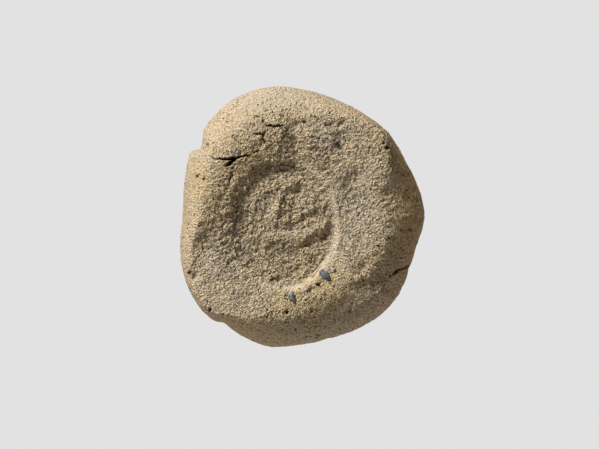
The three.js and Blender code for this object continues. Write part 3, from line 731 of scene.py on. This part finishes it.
def tintGroup():
    # golden to grey by the tint mask and clouds, times painted shade to painted light by the grain's tone,
    # dark in its hollows and light on its crests; then the covers, with a partly painted highlight where
    # rubbed and painted shade in pores and cracks
    look = tintLook
    tree, given, out = newGroup("clayTint", dict(Vector="Vector", Tint="Float", GrainShade="Float", PoreShade="Float",
                                                 CavityShade="Float", RubbedAndHighlit="Float"), dict(Color="Color"))
    clouds = noiseNode(tree, given["Vector"], look["cloudSize"], Detail=look["cloudDetail"],
                       Roughness=look["cloudRoughness"])["Fac"]
    sway = rampNode(tree, clouds, look["swayLow"], look["swayHigh"], -look["cloudSway"], look["cloudSway"])
    color = colorNode(tree, mathNode(tree, "ADD", given["Tint"], sway), look["grey"], look["golden"])
    # painted shade in the grain's hollows and painted light on its crests
    grainShadeTone = rampNode(tree, given["GrainShade"], look["shadeTone"], look["lightTone"])
    color = colorNode(tree, 1.0, color, colorNode(tree, grainShadeTone, look["shade"], look["light"]), "MULTIPLY")
    speck = spotNode(tree, given["Vector"], look["speckSize"], look["speckCore"], look["speckRadius"],
                     look["speckShare"], "Green")
    covers = [
        # rubbed smooth clay, lightened partly by a painted highlight on the oval's lit edge
        (mathNode(tree, "MULTIPLY", given["RubbedAndHighlit"], look["rubbedMost"]), look["rubbedAndHighlit"]),
        (rampNode(tree, clouds, look["dustLow"], look["dustHigh"], 0.0, look["dustMost"]), look["dust"]),
        (mathNode(tree, "MULTIPLY", speck, look["speckMost"]), look["speck"]),
        # painted shade in pores, cracks and large pores
        (mathNode(tree, "MULTIPLY", given["PoreShade"], look["poreMost"]), look["pore"]),
        (given["CavityShade"], look["pore"]),
    ]
    for amount, cover in covers:
        color = colorNode(tree, amount, color, cover)
    tree.links.new(color, out["Color"])
    return tree


clayLook = dict(
    hollowTone=0.2, hollowRoughness=1.0, crestTone=0.8, crestRoughness=0.82, specular=0.15,
    bumpStrength=1.0, bumpDepth=0.5, bumpWidth=0.1,  # depth in mm, width of the slope's sample in pixels
)


def newMaterial(name):
    material = bpy.data.materials.new(name)
    material.use_nodes = True
    return material, material.node_tree, material.node_tree.nodes["Principled BSDF"]


def clayMaterial():
    # colour from the tint group, fine relief from the grain group, and duller in the hollows
    material, tree, shader = newMaterial("driedClay")
    place = addNode(tree, "ShaderNodeTexCoord").outputs["Object"]
    mask = {name: addNode(tree, "ShaderNodeAttribute", attribute_name=name).outputs["Fac"]
            for name in ("rough", "cavityShade", "smooth", "tint")}
    grain = addNode(tree, "ShaderNodeGroup", {"Vector": place, "Crumble": mask["rough"]},
                    node_tree=grainGroup()).outputs
    tint = addNode(tree, "ShaderNodeGroup", {
        "Vector": place, "Tint": mask["tint"], "GrainShade": grain["GrainShade"], "PoreShade": grain["PoreShade"],
        "CavityShade": mask["cavityShade"], "RubbedAndHighlit": mask["smooth"],
    }, node_tree=tintGroup())
    bump = addNode(tree, "ShaderNodeBump", {
        "Strength": clayLook["bumpStrength"], "Distance": clayLook["bumpDepth"] * mm,
        "Filter Width": clayLook["bumpWidth"], "Height": grain["Height"],
    })
    roughness = rampNode(tree, grain["GrainShade"], clayLook["hollowTone"], clayLook["crestTone"],
                         clayLook["hollowRoughness"], clayLook["crestRoughness"])
    shader.inputs["Specular IOR Level"].default_value = clayLook["specular"]
    tree.links.new(tint.outputs["Color"], shader.inputs["Base Color"])
    tree.links.new(bump.outputs["Normal"], shader.inputs["Normal"])
    tree.links.new(roughness, shader.inputs["Roughness"])
    return material


# How a stone is built and coloured: sizes in mm, and what takes no unit is a share
stoneLook = dict(
    rings=[(1.06, -0.4), (1.0, -0.02), (0.93, 0.06), (0.8, 0.1), (0.5, 0.12)],  # share of the outline, height
    sidePoints=4, cornerKept=0.6, standsOut=0.08,
    skinReach=0.9, skinLowest=6.0,  # the skin under it: how far round its middle, and above which height
    unevenSize=0.35, uneven=(0.006, 0.006, 0.02),
    farFrom=0.2, farTo=0.8,
    mottleScale=3500.0, mottleDetail=4.0, mottleLow=0.42, mottleHigh=0.6,  # scale in clouds per metre
    dark=(0.35, 0.35, 0.37), light=(1.8, 1.8, 1.7),
    sheenLow=0.3, sheenRoughness=0.55, dullHigh=0.7, dullRoughness=0.75, specular=0.25,
    bumpStrength=0.6, bumpDepth=0.05,
)


def stoneMesh(stone, skin):
    # rings of the rounded outline shrinking upwards, tilted to the plane that best fits the skin under it
    look = stoneLook
    corners = np.array(stone["corners"])
    middle = corners.mean(0)
    offset = np.hypot(skin[:, 0] - middle[0], skin[:, 1] - middle[1])
    near = skin[(offset < look["skinReach"]) & (skin[:, 2] > look["skinLowest"])]
    fit = np.linalg.lstsq(np.c_[near[:, :2] - middle, np.ones(len(near))], near[:, 2], rcond=None)[0]
    count = len(corners) * look["sidePoints"]
    place = np.arange(count) / look["sidePoints"]
    i, t = np.floor(place).astype(int), (place % 1)[:, None]
    edge = corners[i] * (1 - t) + corners[(i + 1) % len(corners)] * t
    kept = look["cornerKept"]
    edge = kept * edge + (1 - kept) / 2 * (np.roll(edge, 1, 0) + np.roll(edge, -1, 0))
    rise = stone["rise"] / look["rings"][-1][1]
    points = []
    for share, height in look["rings"]:
        ring = (edge - middle) * share
        points.append(np.c_[middle + ring, ring @ fit[:2] + fit[2] + height * rise + look["standsOut"]])
    points = np.vstack(points + [np.r_[middle, fit[2] + stone["rise"] + look["standsOut"]]])
    points += cloudNoise(points, look["unevenSize"], seeds["stone"])[:, None] * look["uneven"]
    j = np.arange(count)
    after = (j + 1) % count
    last = len(look["rings"]) - 1
    quads = np.vstack([np.stack([j, after, after + count, j + count], 1) + k * count for k in range(last)])
    cap = np.stack([last * count + j, last * count + after, np.full(count, (last + 1) * count)], 1)
    return points, np.vstack([quads[:, [0, 1, 2]], quads[:, [0, 2, 3]], cap])


def stoneMaterial():
    # each stone's own colour, mottled by noise, with a slight sheen on the broken faces
    look = stoneLook
    material, tree, shader = newMaterial("gritStone")
    place = addNode(tree, "ShaderNodeTexCoord").outputs["Object"]
    own = addNode(tree, "ShaderNodeAttribute", attribute_name="stoneColor").outputs["Color"]
    noise = addNode(tree, "ShaderNodeTexNoise", {"Vector": place, "Scale": look["mottleScale"],
                                                 "Detail": look["mottleDetail"]}).outputs["Fac"]
    mottle = rampNode(tree, noise, look["mottleLow"], look["mottleHigh"])
    color = colorNode(tree, 1.0, own, colorNode(tree, mottle, look["dark"], look["light"]), "MULTIPLY")
    bump = addNode(tree, "ShaderNodeBump", {
        "Strength": look["bumpStrength"], "Distance": look["bumpDepth"] * mm, "Height": noise,
    })
    roughness = rampNode(tree, noise, look["sheenLow"], look["dullHigh"],
                         look["sheenRoughness"], look["dullRoughness"])
    shader.inputs["Specular IOR Level"].default_value = look["specular"]
    tree.links.new(color, shader.inputs["Base Color"])
    tree.links.new(bump.outputs["Normal"], shader.inputs["Normal"])
    tree.links.new(roughness, shader.inputs["Roughness"])
    return material


def addStones(skin):
    # one mesh for all; each stone's colour runs from its own to its far colour along x - y
    points, faces, colors = [], [], []
    start = 0
    for stone in stones:
        stonePoints, stoneFaces = stoneMesh(stone, skin)
        across = stonePoints[:, 0] - stonePoints[:, 1]
        share = (across - across.min()) / np.ptp(across)
        far = ease(stoneLook["farFrom"], stoneLook["farTo"], share)[:, None]
        color = np.array(stone["color"]) * (1 - far) + np.array(stone.get("farColor", stone["color"])) * far
        points.append(stonePoints)
        faces.append(stoneFaces + start)
        colors.append(np.c_[color, np.ones(len(color))])
        start += len(stonePoints)
    thing = meshObject("gritStones", np.vstack(points), np.vstack(faces), {}, stoneMaterial())
    layer = thing.data.attributes.new("stoneColor", "FLOAT_COLOR", "POINT")
    layer.data.foreach_set("color", np.vstack(colors).ravel().astype(np.float32))
    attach(thing, "root")
    print("stones:", len(stones))


points, faces, attributes = buildLump()
points = fitToFrame(points, np.array(cadBox[0]) / mm, np.array(cadBox[1]) / mm)
lumpObject = meshObject("pressedLump", points, faces, attributes, clayMaterial())
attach(lumpObject, "root")
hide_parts("bulla")
print("lump:", len(points), "points,", len(faces), "triangles")
addStones(points)

# Camera, lights and floor: places, sizes and distances in mm, turns in degrees, powers in watts
studio = dict(
    pixel=0.125, photoWidth=599, centreX=-0.25, centreY=-1.0, aimHeight=5.0, distance=600.0, sensor=36.0,
    farthest=10000.0,
    keyDirection=126, keyElevation=28, lightDistance=600.0, keyWidth=360.0, keyHeight=120.0, keyPower=6.0,
    fillDirection=-100, fillElevation=35, fillSize=400.0, fillPower=0.98,
    floorReach=3000.0, backdrop=0.76, floorLight=(0.68, 0.57, 0.46), ambient=(0.05, 0.04, 0.03),
)


def aim(thing, target):
    direction = target - thing.location
    thing.rotation_euler = direction.to_track_quat("-Z", "Y").to_euler()


def addCamera():
    # straight above; lens = sensor * distance / (a pixel's size * the photo's width)
    camera = bpy.data.cameras.new("camera")
    camera.sensor_width = studio["sensor"]
    camera.lens = studio["sensor"] * studio["distance"] / (studio["pixel"] * studio["photoWidth"])
    camera.clip_end = studio["farthest"] * mm
    thing = bpy.data.objects.new("camera", camera)
    place = (studio["centreX"], studio["centreY"], studio["aimHeight"] + studio["distance"])
    thing.location = [value * mm for value in place]
    bpy.context.scene.collection.objects.link(thing)
    bpy.context.scene.camera = thing


def addLight(name, direction, elevation, width, height, power):
    # a panel at the light's distance, turned to the lump's crown
    light = bpy.data.lights.new(name, "AREA")
    light.shape = "RECTANGLE"
    light.size = width * mm
    light.size_y = height * mm
    light.energy = power
    thing = bpy.data.objects.new(name, light)
    angle, rise = math.radians(direction), math.radians(elevation)
    target = Vector((0, 0, studio["aimHeight"] * mm))
    away = Vector((math.cos(rise) * math.cos(angle), math.cos(rise) * math.sin(angle), math.sin(rise)))
    thing.location = target + away * studio["lightDistance"] * mm
    aim(thing, target)
    bpy.context.scene.collection.objects.link(thing)


def seenColor(tree, lit):
    # the backdrop's grey for the camera, and another colour for the light that it throws
    isSeen = addNode(tree, "ShaderNodeLightPath").outputs["Is Camera Ray"]
    return colorNode(tree, isSeen, lit, (studio["backdrop"],) * 3)


def addFloor():
    # a wide flat floor that gives an even light and takes none
    mesh = bpy.data.meshes.new("paleFloor")
    corners = np.array([(-1, -1, 0), (1, -1, 0), (1, 1, 0), (-1, 1, 0)]) * studio["floorReach"] * mm
    mesh.from_pydata(corners, [], [(0, 1, 2, 3)])
    material, tree, shader = newMaterial("paleFloor")
    shader.inputs["Base Color"].default_value = (0, 0, 0, 1)
    shader.inputs["Roughness"].default_value = 1
    shader.inputs["Specular IOR Level"].default_value = 0
    shader.inputs["Emission Strength"].default_value = 1
    tree.links.new(seenColor(tree, studio["floorLight"]), shader.inputs["Emission Color"])
    mesh.materials.append(material)
    thing = bpy.data.objects.new("paleFloor", mesh)
    bpy.context.scene.collection.objects.link(thing)


def setWorld():
    # a dim warm light from all round
    world = bpy.data.worlds.new("studio")
    world.use_nodes = True
    tree = world.node_tree
    tree.links.new(seenColor(tree, studio["ambient"]), tree.nodes["Background"].inputs["Color"])
    bpy.context.scene.world = world


addCamera()
addLight("keyStrip", studio["keyDirection"], studio["keyElevation"], studio["keyWidth"],
         studio["keyHeight"], studio["keyPower"])
addLight("fillPanel", studio["fillDirection"], studio["fillElevation"], studio["fillSize"],
         studio["fillSize"], studio["fillPower"])
addFloor()
setWorld()
bpy.context.scene.view_settings.view_transform = "Standard"
bpy.context.scene.view_settings.look = "None"
print("studio: camera, two lights, floor and world")
